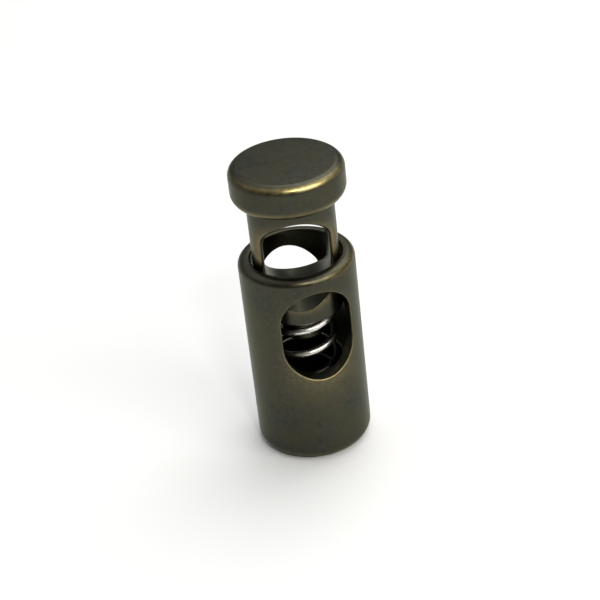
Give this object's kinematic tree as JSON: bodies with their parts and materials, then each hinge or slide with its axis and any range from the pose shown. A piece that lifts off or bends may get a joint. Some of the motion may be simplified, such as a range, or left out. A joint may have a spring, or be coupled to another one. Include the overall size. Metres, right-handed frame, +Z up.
{
  "type": "cord lock",
  "caption": "Round metal cord lock: a flat-headed plunger slides in a barrel on a spring and pinches a cord that runs through the cross hole in both.",
  "frame": {"origin": "centre of the barrel's flat base, at the bottom centre of the whole lock", "axes": "+Z up along the barrel to the plunger's head, -Y out of the front mouth of the barrel's cross hole, +X to the right of it"},
  "size_m": [0.01, 0.01, 0.027],
  "materials": {
    "antique_brass": "dark antique plating, satin, worn to bright brass on its edges",
    "spring_steel": "bright drawn wire"
  },
  "bodies": {
    "barrel": {"barrel": "antique_brass"},
    "spring": {"spring": "spring_steel"},
    "plunger": {"plunger": "antique_brass"}
  },
  "joints": [
    {"name": "press", "type": "slide", "parent": "barrel", "child": "spring", "axis": [0, 0, -1], "range_m": [0, 0.0053], "stiffness_N_per_m": 1500, "deforming": ["spring"]},
    {"name": "turn", "type": "hinge", "parent": "spring", "child": "plunger", "pos_m": [0, 0, 0], "axis": [0, 0, 1], "continuous": true}
  ]
}
